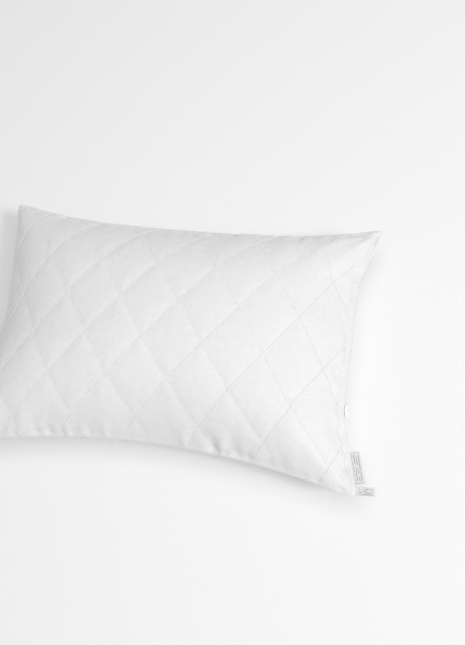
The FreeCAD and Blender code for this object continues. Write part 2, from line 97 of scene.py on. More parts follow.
# ---- Small helpers ----
def cubic_weights(count, places):
    """Weights that read a smooth curve (uniform cubic B-spline) through count even values on -1 to 1."""
    position = np.clip((places + 1) / 2 * (count - 1), 0, count - 1)
    first = np.minimum(position.astype(int), count - 2)
    part = position - first
    basis = [
        (1 - part) ** 3 / 6,
        (3 * part ** 3 - 6 * part ** 2 + 4) / 6,
        (-3 * part ** 3 + 3 * part ** 2 + 3 * part + 1) / 6,
        part ** 3 / 6,
    ]
    weights = np.zeros((len(places), count))
    rows = np.arange(len(places))
    for shift, share in zip((-1, 0, 1, 2), basis):
        column = first + shift
        before, after = column < 0, column > count - 1
        inside = ~before & ~after
        np.add.at(weights, (rows[inside], column[inside]), share[inside])
        # a value past either end is the end's straight continuation
        np.add.at(weights, (rows[before], 0), 2 * share[before])
        np.add.at(weights, (rows[before], 1), -share[before])
        np.add.at(weights, (rows[after], count - 1), 2 * share[after])
        np.add.at(weights, (rows[after], count - 2), -share[after])
    return weights


def read_field(values, along, across):
    """Smooth values between the points of an even grid, for every pair of along and across."""
    by_row = cubic_weights(values.shape[0], along)
    by_column = cubic_weights(values.shape[1], across)
    return np.einsum("ia,ab...,jb->ij...", by_row, values, by_column, optimize=True)


def smooth_step(low, high, values):
    """0 below low, 1 above high, and a soft ramp between. With low above high, the ramp falls instead."""
    share = np.clip((values - low) / (high - low), 0, 1)
    return share * share * (3 - 2 * share)


def normals_of(grid, side):
    """Unit normals of a grid of points, pointing out of the pillow."""
    normal = np.cross(np.gradient(grid, axis=0), np.gradient(grid, axis=1)) * side
    return normal / np.maximum(np.linalg.norm(normal, axis=-1, keepdims=True), 1e-12)


def grid_faces(index, side):
    """Quads over a grid of vertex numbers, facing out of the pillow on that side."""
    quads = np.stack([index[:-1, :-1], index[1:, :-1], index[1:, 1:], index[:-1, 1:]], -1).reshape(-1, 4)
    return quads if side == TOP else quads[:, ::-1]


def border(index):
    """A grid's border as one closed row of its entries, anticlockwise seen from above."""
    return np.concatenate([index[:-1, 0], index[-1, :-1], index[:0:-1, -1], index[0, :0:-1]])


def number_points(grid):
    """The number of each of a grid's points, row by row."""
    rows, columns = grid.shape[:2]
    return np.arange(rows * columns).reshape(rows, columns)


def add_object(name, data):
    """A new object in the scene."""
    item = bpy.data.objects.new(name, data)
    bpy.context.scene.collection.objects.link(item)
    return item


def add_square(name, half):
    """A flat square at floor height."""
    mesh = bpy.data.meshes.new(name)
    corners = [(-half, -half, 0), (half, -half, 0), (half, half, 0), (-half, half, 0)]
    mesh.from_pydata(corners, [], [(0, 1, 2, 3)])
    return add_object(name, mesh)


def make_piece(name, points, faces, finish, uv=None):
    """A smooth-shaded mesh object that rides on the pillow's body. uv has one pair for each point."""
    mesh = bpy.data.meshes.new(name)
    mesh.from_pydata(np.asarray(points).tolist(), [], [list(map(int, face)) for face in faces])
    mesh.update()
    mesh.shade_smooth()
    if uv is not None:
        layer = mesh.uv_layers.new(name="flat")
        corner = np.zeros(len(mesh.loops), int)
        mesh.loops.foreach_get("vertex_index", corner)
        layer.data.foreach_set("uv", np.asarray(uv, float)[corner].ravel())
    mesh.materials.append(finish)
    piece = add_object(name, mesh)
    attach(piece, "pillow")
    return piece


def thicken(piece, thickness, offset=-1.0):
    """Gives a sheet its real thickness, inwards unless told otherwise."""
    solid = piece.modifiers.new("thickness", "SOLIDIFY")
    solid.thickness = thickness
    solid.offset = offset


TAPERED_END = 0.45  # a stitch's two ends, as a share of its radius


def tubes(name, lines, away, radius, finish, sides=6, taper=True):
    """One mesh of many thin tubes. lines is tube x point x 3, and away a direction off each point's line."""
    many, count, _ = lines.shape
    forward = np.gradient(lines, axis=1)
    forward /= np.linalg.norm(forward, axis=-1, keepdims=True)
    across = np.cross(forward, away)
    across /= np.linalg.norm(across, axis=-1, keepdims=True)
    up = np.cross(across, forward)
    turn = np.arange(sides) / sides * 2 * np.pi
    radii = np.full(count, radius)
    if taper:
        radii[[0, -1]] = radius * TAPERED_END
    ring = (across[:, :, None] * np.cos(turn)[:, None] + up[:, :, None] * np.sin(turn)[:, None])
    points = lines[:, :, None] + ring * radii[:, None, None]
    index = np.arange(many * count * sides).reshape(many, count, sides)
    beside = np.roll(index, -1, axis=2)
    walls = np.stack([index[:, :-1], beside[:, :-1], beside[:, 1:], index[:, 1:]], -1).reshape(-1, 4)
    faces = walls.tolist() + index[:, 0, ::-1].tolist() + index[:, -1].tolist()
    length = np.cumsum(np.linalg.norm(np.diff(lines, axis=1, prepend=lines[:, :1]), axis=-1), axis=1)
    uv = np.stack(np.broadcast_arrays(length[:, :, None], turn[None, None, :] / (2 * np.pi)), -1)
    return make_piece(name, points.reshape(-1, 3), faces, finish, uv.reshape(-1, 2))


# ---- Materials ----
class Finish:
    """A node material: one Principled shader, with short ways to add texture nodes and bumps to it."""

    def __init__(self, name, color, roughness, **sockets):
        self.material = bpy.data.materials.new(name)
        self.material.use_nodes = True
        self.nodes = self.material.node_tree.nodes
        self.links = self.material.node_tree.links
        self.shader = self.nodes["Principled BSDF"]
        self.shader.inputs["Base Color"].default_value = (*color, 1)
        self.shader.inputs["Roughness"].default_value = roughness
        self.color = color
        for socket, value in sockets.items():
            self.shader.inputs[socket.replace("_", " ")].default_value = value
        self.bumped = None

    def add(self, kind, inputs=None, **settings):
        """A node with its settings, and its inputs set or linked by name or number."""
        node = self.nodes.new(kind)
        for key, value in settings.items():
            setattr(node, key, value)
        for key, value in (inputs or {}).items():
            if isinstance(value, bpy.types.NodeSocket):
                self.links.new(value, node.inputs[key])
            else:
                node.inputs[key].default_value = value
        return node

    def place(self, scale=(1, 1, 1), turn=0.0, from_uv=False):
        """Texture places in metres, stretched and turned: the object's own, or the flat cloth's."""
        source = self.add("ShaderNodeTexCoord")
        mapping = self.add("ShaderNodeMapping",
                           {"Vector": source.outputs["UV" if from_uv else "Object"], "Scale": scale,
                            "Rotation": (0, 0, turn)})
        return mapping.outputs["Vector"]

    def noise(self, scale, detail=3.0, rough=0.5, vector=None):
        """Soft random cloud from 0 to 1, with scale in clouds per metre."""
        inputs = {"Scale": scale, "Detail": detail, "Roughness": rough, "Vector": vector or self.place()}
        return self.add("ShaderNodeTexNoise", inputs).outputs["Fac"]

    def ridges(self, per_metre, vector):
        """Even ridges across the vector's x, that many in a metre."""
        # a wave texture of scale 1 has a ridge every 2 pi / 20 of a unit
        inputs = {"Scale": per_metre * math.pi / 10, "Vector": vector}
        return self.add("ShaderNodeTexWave", inputs).outputs["Fac"]

    def maths(self, operation, first, second):
        """One step of arithmetic on two numbers or sockets."""
        return self.add("ShaderNodeMath", {0: first, 1: second}, operation=operation).outputs[0]

    def bump(self, height, distance, strength=1.0):
        """Adds a bump that high, in metres, on top of those already there."""
        inputs = {"Height": height, "Distance": distance, "Strength": strength}
        if self.bumped is not None:
            inputs["Normal"] = self.bumped
        self.bumped = self.add("ShaderNodeBump", inputs).outputs["Normal"]
        self.links.new(self.bumped, self.shader.inputs["Normal"])

    def tint(self, factor, color, low=0.35, high=0.65):
        """Mixes the base colour towards color where the factor is high."""
        ramp = self.add("ShaderNodeMapRange", {"Value": factor, "From Min": low, "From Max": high})
        mix = self.add("ShaderNodeMix", {"Factor": ramp.outputs["Result"]}, data_type="RGBA")
        linked = self.shader.inputs["Base Color"].links
        if linked:
            self.links.new(linked[0].from_socket, mix.inputs["A"])
        else:
            mix.inputs["A"].default_value = (*self.color, 1)
        mix.inputs["B"].default_value = (*color, 1)
        self.links.new(mix.outputs["Result"], self.shader.inputs["Base Color"])

    def vary_roughness(self, factor, low, high):
        """Roughness between low and high by the factor."""
        ramp = self.add("ShaderNodeMapRange", {"Value": factor, "To Min": low, "To Max": high})
        self.links.new(ramp.outputs["Result"], self.shader.inputs["Roughness"])


def weave(finish, threads_per_metre, depth):
    """Plain weave: ridges both ways over the flat cloth, the higher of the two at each place."""
    warp = finish.ridges(threads_per_metre, finish.place(from_uv=True))
    weft = finish.ridges(threads_per_metre, finish.place(from_uv=True, turn=math.pi / 2))
    finish.bump(finish.maths("MAXIMUM", warp, weft), depth)


def quilt_crease(finish):
    """Height of the narrow creases along both families of quilting lines, from the flat cloth's places."""
    flat_place = finish.add("ShaderNodeSeparateXYZ", {"Vector": finish.place(from_uv=True)})
    one = finish.maths("DIVIDE", finish.maths("SUBTRACT", flat_place.outputs["X"], CROSSING[0] + HALF[0]),
                       DIAMOND_HALF_LENGTH)
    two = finish.maths("DIVIDE", finish.maths("SUBTRACT", flat_place.outputs["Y"], CROSSING[1] + HALF[1]),
                       DIAMOND_HALF_WIDTH)
    creases = []
    for lines in (finish.maths("SUBTRACT", one, two), finish.maths("ADD", one, two)):
        # a line runs wherever the value is an even number
        distance = finish.maths("MULTIPLY", finish.maths("PINGPONG", lines, 1.0), LINE_GAP / CREASE_WIDTH)
        creases.append(finish.maths("POWER", math.exp(-1), distance))
    return finish.maths("MAXIMUM", *creases)


def microfibre(quilted=True):
    """Fine brushed polyester: near white, slightly satin, with a soft mottling of the nap."""
    finish = Finish("white_microfibre", (0.81, 0.81, 0.815), 0.5, Sheen_Weight=0.25, Sheen_Roughness=0.35,
                    Specular_IOR_Level=0.4)
    finish.tint(finish.noise(9, detail=4), (0.785, 0.787, 0.795))
    finish.tint(finish.noise(160, detail=4, rough=0.6), (0.83, 0.83, 0.832))
    finish.vary_roughness(finish.noise(45, detail=5), 0.42, 0.62)
    if quilted:
        finish.bump(quilt_crease(finish), -CREASE_DEPTH)
    finish.bump(finish.noise(85, detail=4, rough=0.55), 0.7 * MM, 0.8)
    finish.bump(finish.noise(420, detail=3), 0.12 * MM)
    weave(finish, 2400, 0.04 * MM)
    return finish.material


def spun_thread(name, color, roughness=0.5, sheen=0.3):
    """Two-ply polyester thread: slanting plies along its length and a little fuzz."""
    finish = Finish(name, color, roughness, Sheen_Weight=sheen)
    slant = finish.place(scale=(1, 0.0009, 1), turn=0.6, from_uv=True)
    finish.bump(finish.ridges(1100, slant), 0.08 * MM)
    finish.tint(finish.noise(900, detail=2), tuple(0.94 * part for part in color))
    finish.bump(finish.noise(3000, detail=2), 0.03 * MM)
    return finish.material


def batting():
    """Carded polyester wadding: loose crossed fibres with thin and thick clouds."""
    finish = Finish("polyester_wadding", (0.85, 0.85, 0.84), 0.85, Sheen_Weight=0.4)
    finish.tint(finish.noise(60, detail=6, rough=0.7), (0.74, 0.74, 0.73))
    for turn in (0.4, 2.1):
        strands = finish.noise(260, detail=4, rough=0.75, vector=finish.place(scale=(1, 0.08, 1), turn=turn))
        finish.bump(strands, 1.1 * MM)
    return finish.material


def spunbond():
    """Thin non-woven backing: bonded in a grid of small dots over random fibres."""
    finish = Finish("spunbond_backing", (0.8, 0.81, 0.82), 0.6)
    dots_one = finish.ridges(420, finish.place(turn=math.pi / 4))
    dots_two = finish.ridges(420, finish.place(turn=-math.pi / 4))
    dots = finish.maths("MULTIPLY", dots_one, dots_two)
    finish.tint(dots, (0.72, 0.73, 0.75), 0.6, 0.9)
    finish.bump(dots, -0.12 * MM)
    finish.bump(finish.noise(1400, detail=4, rough=0.7), 0.12 * MM)
    return finish.material


def hollow_fibre():
    """Clumped hollow polyester fibre: soft lumps with curled strands on them."""
    finish = Finish("hollow_fibre", (0.88, 0.88, 0.87), 0.8, Sheen_Weight=0.5)
    finish.tint(finish.noise(38, detail=5, rough=0.65), (0.77, 0.77, 0.76))
    finish.bump(finish.noise(120, detail=6, rough=0.75), 3 * MM)
    curl = finish.add("ShaderNodeTexWave", {"Scale": 60, "Distortion": 14, "Detail": 4, "Detail Scale": 3,
                                            "Vector": finish.place()}).outputs["Fac"]
    finish.bump(curl, 0.8 * MM)
    return finish.material


def woven_tape():
    """Zip tape: tight herringbone of polyester threads."""
    finish = Finish("woven_zip_tape", (0.82, 0.82, 0.83), 0.6, Sheen_Weight=0.2)
    finish.bump(finish.ridges(1600, finish.place(turn=math.pi / 4)), 0.06 * MM)
    upright = finish.add("ShaderNodeMapping", {"Vector": finish.place(), "Rotation": (0, math.pi / 2, 0)})
    finish.bump(finish.ridges(1300, upright.outputs["Vector"]), 0.08 * MM)
    finish.tint(finish.noise(700, detail=3), (0.76, 0.76, 0.78))
    return finish.material


def nylon():
    """Drawn nylon of the zip's coil: milky, smooth, slightly see-through."""
    finish = Finish("nylon_coil", (0.84, 0.84, 0.82), 0.28, Subsurface_Weight=0.15)
    finish.shader.inputs["Subsurface Radius"].default_value = (0.001, 0.001, 0.001)
    finish.tint(finish.noise(500, detail=2), (0.78, 0.78, 0.76))
    finish.bump(finish.noise(2600, detail=2), 0.03 * MM)
    return finish.material


def worn_metal():
    """Nickel-plated zinc: brushed, duller in the hollows, brighter where fingers rub it."""
    finish = Finish("nickel_plate", (0.5, 0.49, 0.48), 0.3, Metallic=1.0)
    brushed = finish.noise(700, detail=4, vector=finish.place(scale=(1, 0.06, 1)))
    finish.vary_roughness(brushed, 0.22, 0.45)
    finish.tint(finish.noise(400, detail=5, rough=0.7), (0.32, 0.31, 0.3))
    edge = finish.add("ShaderNodeNewGeometry").outputs["Pointiness"]
    finish.tint(edge, (0.72, 0.71, 0.69), 0.52, 0.6)
    finish.bump(brushed, 0.03 * MM)
    return finish.material


def satin_label(name, bars_per_metre, shade, rows_turned):
    """White satin ribbon with plain faint grey bars in place of any print, and a painted shadow of a fold
    along one long edge.
    """
    finish = Finish(name, (0.74, 0.74, 0.745), 0.42, Sheen_Weight=0.2)
    finish.bump(finish.ridges(2200, finish.place(from_uv=True)), 0.05 * MM)
    finish.bump(finish.ridges(1500, finish.place(from_uv=True, turn=math.pi / 2)), 0.03 * MM)
    bars = finish.ridges(bars_per_metre, finish.place(from_uv=True, turn=rows_turned))
    along_rows = (1, 0.35, 1) if rows_turned == 0 else (0.35, 1, 1)
    broken = finish.noise(420, detail=1, vector=finish.place(scale=along_rows, from_uv=True))
    middle = finish.add("ShaderNodeAttribute", attribute_name="printed").outputs["Fac"]
    ink = finish.maths("MULTIPLY", finish.maths("GREATER_THAN", bars, 0.62),
                       finish.maths("GREATER_THAN", broken, 0.44))
    # painted shadow: a dark stripe along one long edge stands for the shade of the fold beside the label
    painted_fold_shadow = finish.add("ShaderNodeAttribute", attribute_name="painted_fold_shadow").outputs["Fac"]
    finish.tint(finish.maths("MULTIPLY", ink, middle), shade, 0.2, 0.9)
    finish.tint(painted_fold_shadow, (0.33, 0.33, 0.35), 0.3, 0.9)
    return finish.material


MICROFIBRE = microfibre()
PLAIN_MICROFIBRE = microfibre(quilted=False)
QUILT_THREAD = spun_thread("quilting_thread", (0.97, 0.97, 0.97))
SEAM_THREAD = spun_thread("seam_thread", (0.85, 0.85, 0.85))
OVERLOCK_THREAD = spun_thread("overlock_thread", (0.83, 0.83, 0.82), 0.6, 0.5)
WADDING = batting()
BACKING = spunbond()
FIBRE = hollow_fibre()
TAPE = woven_tape()
NYLON = nylon()
METAL = worn_metal()
CARE_LABEL = satin_label("care_label_satin", 330, (0.4, 0.4, 0.42), 0)
SIZE_LABEL = satin_label("size_label_satin", 400, (0.36, 0.36, 0.38), math.pi / 2)


# ---- The inflated shape ----
def side_bow(place, power):
    """How far out a side lies, from 0 where it is drawn in most to 1 at its corners."""
    return np.minimum(1, np.abs(place) / SQUARE_CORNER) ** power


def zip_bow(across):
    """The same for the zip's side: drawn in evenly along the zip, then straight to each corner."""
    high, low = ZIP_END / REACH_Y, ZIP_START / REACH_Y
    above = (across - high) / (SQUARE_CORNER - high)
    below = (low - across) / (SQUARE_CORNER + low)
    return np.clip(np.maximum(above, below), 0, 1)


def outline(along, across):
    """Where a place lies in plan: the pillow's outline, drawn in evenly towards the middle."""
    zip_side = PULL_IN_ZIP_END * (1 - zip_bow(across))
    plain_side = PULL_IN_PLAIN_END * (1 - side_bow(across, PLAIN_END_POWER))
    back = PULL_IN_BACK * (1 - side_bow(along, BACK_POWER))
    front = PULL_IN_FRONT * (1 - side_bow(along, FRONT_POWER))
    x = along * (REACH_X - np.where(along > 0, zip_side, plain_side))
    y = across * (REACH_Y - np.where(across > 0, back, front))
    return x, y


SIM_STEP = 6.5 * MM
SIM_FRAMES = 25
PRESSURE = 45.0
START_NOISE = 0.4 * MM  # uneven filling, from which the cloth's creases start
FLOOR_GAP = 0.4 * MM  # the cloth rests this far above the floor
SEAM_GAP = 0.3 * MM  # half the gap between the two panels at the seam
SEAM_ROOM_RAMP = 5 * MM  # a layer has its full room this far in from a seam
CORNER_FULLNESS = 110  # the room also grows by this many times itself for each metre inwards
CLOTH_STIFFNESS = {"tension": 20, "compression": 6, "shear": 2, "bending": 0.35}
CLOTH_MASS = 0.2
CLOTH_CONTACT = 2 * MM  # how near the simulated cloth and the floor come
DEEPEST_SHARE = 0.995  # share of the grid that lies under the height taken as its deepest


def lens(along, across):
    """Height of a plain pillow shape, 1 in the middle and 0 at the seam."""
    profile_power, profile_round = 2.7, 0.55
    one = np.clip(1 - np.abs(along) ** profile_power, 0, 1) ** profile_round
    two = np.clip(1 - np.abs(across) ** profile_power, 0, 1) ** profile_round
    return one * two


def inflate():
    """Both panels as coarse grids of points, blown up from two flat rectangles sewn round their edge.

    The seam is pinned on the pillow's outline, the cloth's rest size is the flat rectangle, and gas pressure
    fills it against the floor.
    """
    rows = round(FLAT_LENGTH / SIM_STEP) + 1
    columns = round(FLAT_WIDTH / SIM_STEP) + 1
    along, across = np.meshgrid(np.linspace(-1, 1, rows), np.linspace(-1, 1, columns), indexing="ij")
    x, y = outline(along, across)
    rise = CROWN * lens(along, across)
    upper = np.stack([x, y, SEAM_Z + rise], -1)
    lower = np.stack([x, y, SEAM_Z - rise], -1)

    edge = np.zeros((rows, columns), bool)
    edge[[0, -1]] = True
    edge[:, [0, -1]] = True
    top_index = number_points(edge)
    bottom_index = top_index.copy()
    bottom_index[~edge] = rows * columns + np.arange(np.count_nonzero(~edge))
    points = np.concatenate([upper.reshape(-1, 3), lower[~edge]])
    start_chance = np.random.default_rng(3)
    loose = np.ones(len(points), bool)
    loose[top_index[edge]] = False
    points[loose] += start_chance.normal(0, START_NOISE, (np.count_nonzero(loose), 3))
    flat = np.stack([along * HALF[0], across * HALF[1], np.full(along.shape, SEAM_Z)], -1)
    flat_points = np.concatenate([flat.reshape(-1, 3), flat[~edge]])

    mesh = bpy.data.meshes.new("blown_cloth")
    faces = np.concatenate([grid_faces(top_index, TOP), grid_faces(bottom_index, BOTTOM)])
    mesh.from_pydata(points.tolist(), [], faces.tolist())
    cloth_object = add_object("blown_cloth", mesh)
    cloth_object.shape_key_add(name="start")
    cut = cloth_object.shape_key_add(name="cut")
    cut.data.foreach_set("co", flat_points.ravel())
    cut.value = 0
    seam = cloth_object.vertex_groups.new(name="seam")
    seam.add(top_index[edge].tolist(), 1.0, "REPLACE")

    cloth = cloth_object.modifiers.new("cloth", "CLOTH")
    settings = cloth.settings
    settings.quality = 6
    settings.mass = CLOTH_MASS
    settings.air_damping = 2
    for kind, stiffness in CLOTH_STIFFNESS.items():
        setattr(settings, f"{kind}_stiffness", stiffness)
    settings.use_pressure = True
    settings.uniform_pressure_force = PRESSURE
    settings.vertex_group_mass = "seam"
    settings.rest_shape_key = cut
    settings.effector_weights.gravity = 0
    cloth.collision_settings.distance_min = CLOTH_CONTACT
    cloth.point_cache.frame_start = 1
    cloth.point_cache.frame_end = SIM_FRAMES

    ground = add_square("ground", 1)
    ground.modifiers.new("collision", "COLLISION")
    ground.collision.thickness_outer = CLOTH_CONTACT

    for step in range(1, SIM_FRAMES + 1):
        bpy.context.scene.frame_set(step)
    blown = cloth_object.evaluated_get(bpy.context.evaluated_depsgraph_get()).to_mesh()
    result = np.zeros(len(blown.vertices) * 3)
    blown.vertices.foreach_get("co", result)
    result = result.reshape(-1, 3)
    for temporary in (cloth_object, ground):
        bpy.data.objects.remove(temporary)
    bpy.context.scene.frame_set(1)
    return fit_heights(result[top_index], result[bottom_index])


def fit_heights(upper, lower):
    """Brings the crown to the CAD crown, and the underside to the floor, flat where it rests."""
    upper, lower = upper.copy(), lower.copy()
    for grid, wanted in ((upper, CROWN), (lower, SEAM_Z)):
        rise = np.abs(grid[..., 2] - SEAM_Z)
        # the few highest points are left out, so that one crease doesn't set the height
        reached = np.quantile(rise, DEEPEST_SHARE)
        grid[..., 2] = SEAM_Z + np.sign(grid[..., 2] - SEAM_Z) * rise * wanted / reached
    upper[..., 2] = np.maximum(upper[..., 2], SEAM_Z)
    lower[..., 2] = np.clip(lower[..., 2], FLOOR_GAP, SEAM_Z)
    return {TOP: upper, BOTTOM: lower}


SURFACE = inflate()

# ---- Relief: quilting channels, puckers at the seam, folds at the corners ----
chance = np.random.default_rng(11)
PUFF_FIELD = {side: chance.uniform(-1, 1, (17, 12)) for side in (TOP, BOTTOM)}
LUMP_FIELD = {side: chance.uniform(-1, 1, (14, 10)) for side in (TOP, BOTTOM)}
RIPPLE_FIELD = {side: chance.uniform(-1, 1, (61, 41)) for side in (TOP, BOTTOM)}


HOLLOW_DEPTH = 2.4 * MM  # uneven hollows in the panel, a little way in from the zip's fold
HOLLOW_INSET = 13 * MM
HOLLOW_WIDTH = 6 * MM
HOLLOW_FIELD = {side: chance.uniform(-0.4, 1.2, 22) for side in (TOP, BOTTOM)}
SEAM_FADE = 16 * MM  # the quilting's relief has its full height this far in from a seam
PUFF_SHARE = 0.25  # how unevenly the padding fills the diamonds
GATHER_HEIGHT = 0.5 * MM  # small gathers along each line of stitches
LUMP_HEIGHT = 0.9 * MM  # the filling's own unevenness
LOOSE_REACH = 45 * MM  # how far in the cloth is looser near a seam
FOLD_HEIGHT = 1.6 * MM  # folds that spread from each corner
FOLD_START, FOLD_FULL, FOLD_REACH = 6 * MM, 22 * MM, 38 * MM
FOLDS_PER_RADIAN = 11


def read_row(values, across):
    """Evenly spread values along one side, read smoothly at the places across."""
    share = (across + 1) / 2 * (len(values) - 1)
    low = np.clip(share.astype(int), 0, len(values) - 2)
    part = smooth_step(0, 1, share - low)
    return values[low] * (1 - part) + values[low + 1] * part


def make_puckers(count, half_length):
    """Random short folds that start at a seam: place along it, width, length, depth and slant."""
    place = chance.uniform(-half_length, half_length, count)
    # folds crowd towards the corners, where the panels turn hardest
    place = np.sign(place) * half_length * (np.abs(place) / half_length) ** 0.75
    length = chance.uniform(6, 34, count) * MM
    width = chance.uniform(0.2, 0.34, count) * length
    depth = chance.uniform(0.4, 1.0, count) * width ** 0.5 * MM ** 0.5 * chance.choice([1, 1, -0.8], count)
    slant = chance.normal(0, 0.4, count)
    return list(zip(place, width, length, depth, slant))


PUCKERS_PER_METRE = 110
PUCKERS = {
    (side, edge): make_puckers(round(2 * half * PUCKERS_PER_METRE), half)
    for side in (TOP, BOTTOM)
    for edge, half in (("front", HALF[0]), ("back", HALF[0]), ("left", HALF[1]), ("right", HALF[1]))
}


def line_offsets(s, t):
    """Distance from each flat place to the nearest line of the two quilting families, in metres."""
    one = (s - CROSSING[0]) / DIAMOND_HALF_LENGTH
    two = (t - CROSSING[1]) / DIAMOND_HALF_WIDTH
    distances = []
    for value in (one - two, one + two):
        nearest = 2 * np.round(value / 2)
        distances.append(np.abs(value - nearest) * LINE_GAP)
    return distances


def seam_distances(s, t):
    """Flat distance from the seam on each side, and the place along it."""
    return {
        "front": (HALF[1] + t, s),
        "back": (HALF[1] - t, s),
        "left": (HALF[0] + s, t),
        "right": (HALF[0] - s, t),
    }


def flat_places(along, across):
    """Flat places, in metres, for every pair of along and across."""
    return np.meshgrid(along * HALF[0], across * HALF[1], indexing="ij")


def edge_distance(s, t):
    """Flat distance from the nearest seam."""
    return np.minimum(HALF[0] - np.abs(s), HALF[1] - np.abs(t))


def relief(side, along, across):
    """Height of the quilted cloth over the inflated surface, for every pair of along and across."""
    s, t = flat_places(along, across)
    edge = edge_distance(s, t)
    family_one, family_two = line_offsets(s, t)
    nearest = np.minimum(family_one, family_two)
    # rounded off at the line, so that the grid can carry it
    channel = np.exp((CREASE_WIDTH - np.hypot(nearest, CREASE_WIDTH)) / CHANNEL_WIDTH)
    puff = 1 + PUFF_SHARE * read_field(PUFF_FIELD[side], along, across)
    fade = smooth_step(0, SEAM_FADE, edge)
    height = -CHANNEL_DEPTH * puff * channel * fade
    gathers = read_field(RIPPLE_FIELD[side], along, across)
    height += GATHER_HEIGHT * gathers * channel * fade
    looser = 1 + 1.2 * np.exp(-edge / LOOSE_REACH)
    height += LUMP_HEIGHT * read_field(LUMP_FIELD[side], along, across) * looser * fade
    beside_zip = np.exp(-((HALF[0] - s - HOLLOW_INSET) / HOLLOW_WIDTH) ** 2)
    height -= HOLLOW_DEPTH * beside_zip * read_row(HOLLOW_FIELD[side], t / HALF[1]) * fade
    for name, (inward, place) in seam_distances(s, t).items():
        start = smooth_step(0, 4 * MM, inward)
        for where, width, length, depth, slant in PUCKERS[side, name]:
            spread = width * (0.7 + inward / length)
            across_fold = (place - where - slant * inward) / spread
            height -= depth * start * np.exp(-across_fold ** 2 - inward / length)
    for corner_s in (-1, 1):
        for corner_t in (-1, 1):
            from_s = HALF[0] - s * corner_s
            from_t = HALF[1] - t * corner_t
            reach = np.hypot(from_s, from_t)
            angle = np.arctan2(from_t, from_s)
            waves = np.cos(angle * FOLDS_PER_RADIAN + 1.3 * corner_s + 0.7 * corner_t * side)
            strength = smooth_step(FOLD_START, FOLD_FULL, reach) * np.exp(-reach / FOLD_REACH)
            height += FOLD_HEIGHT * waves * strength * np.sin(2 * angle)
    return height


def panel_grid(side, along, across, relief_share=1.0, depth=0.0, room=0.0):
    """The inflated surface at those places, with its relief, moved inwards by depth.

    Nothing comes nearer to the seam plane than the room, which starts from the seam's own gap and grows
    inwards, so that the two panels' layers stay apart.
    """
    s, t = flat_places(along, across)
    inward = edge_distance(s, t)
    room = room * (smooth_step(0, SEAM_ROOM_RAMP, inward) + CORNER_FULLNESS * inward) + SEAM_GAP
    grid = read_field(SURFACE[side], along, across)
    normal = normals_of(grid, side)
    height = relief(side, along, across) * relief_share - depth
    grid = grid + normal * height[..., None]
    above_seam = np.maximum(side * (grid[..., 2] - SEAM_Z), room)
    grid[..., 2] = np.maximum(SEAM_Z + side * above_seam, FLOOR_GAP + max(depth, 0.0))
    return grid


def edge_places(half):
    """Places from -1 to 1 a grid step apart, with closer rows at the two seams."""
    rows = np.array([0.0, *EDGE_STEPS])
    inner_reach = half - EDGE_STEPS[-1] - GRID_STEP
    inner = np.linspace(-inner_reach, inner_reach, round(2 * inner_reach / GRID_STEP) + 1)
    return np.concatenate([rows - half, inner, (half - rows)[::-1]]) / half


# ---- Outer fabric ----
LIP_OUT = 1.1 * MM  # how far the rolled edge stands out beside the seam
LIP_WIDTH = 1.6 * MM
CLOTH_ROOM = 2.0 * MM  # least height of the cloth over the seam plane, a little way in
GROOVE_ROOM = 1.4 * MM  # the same in the groove that the zip's row of stitches draws down
TOPSTITCH_INSET = 4.4 * MM  # from the zip's fold to the row of stitches beside it
GROOVE_WIDTH = 1.6 * MM
GROOVE_DEPTH = 2.6 * MM
RIDGE_HEIGHT = 2.2 * MM
TAPE_LOW, TAPE_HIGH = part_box("zip_tape_upper")
TAPE_ROOM = 1.7 * MM
TAPE_EDGE = 1.6 * MM  # the tape's far edge reaches this far out from its innermost side
EDGE_WANDER = 0.6 * MM  # how unevenly the zip's fold runs
WANDER_REACH = 9 * MM
SEAM_TUCK = 0.5 * MM  # how far the seam itself is drawn in
SEAM_TUCK_WIDTH = 0.4 * MM
LIP_REACH = 16 * MM  # how far in the lips of the zip are lifted
COVER_END, COVER_FULL = 42 * MM, 18 * MM  # from the fold, where the cloth over the tape ends and is full
GROOVE_FIELD = {side: chance.uniform(0.35, 1.2, 36) for side in (TOP, BOTTOM)}
WANDER_FIELD = chance.uniform(-1, 1, 28)
HEM_ROWS = (2.5 * MM, 6 * MM, 9 * MM)


def zip_window(y):
    """1 along the zip, 0 away from it."""
    return smooth_step(ZIP_START - LIP_RAMP, ZIP_START, y) * smooth_step(ZIP_END + LIP_RAMP, ZIP_END, y)


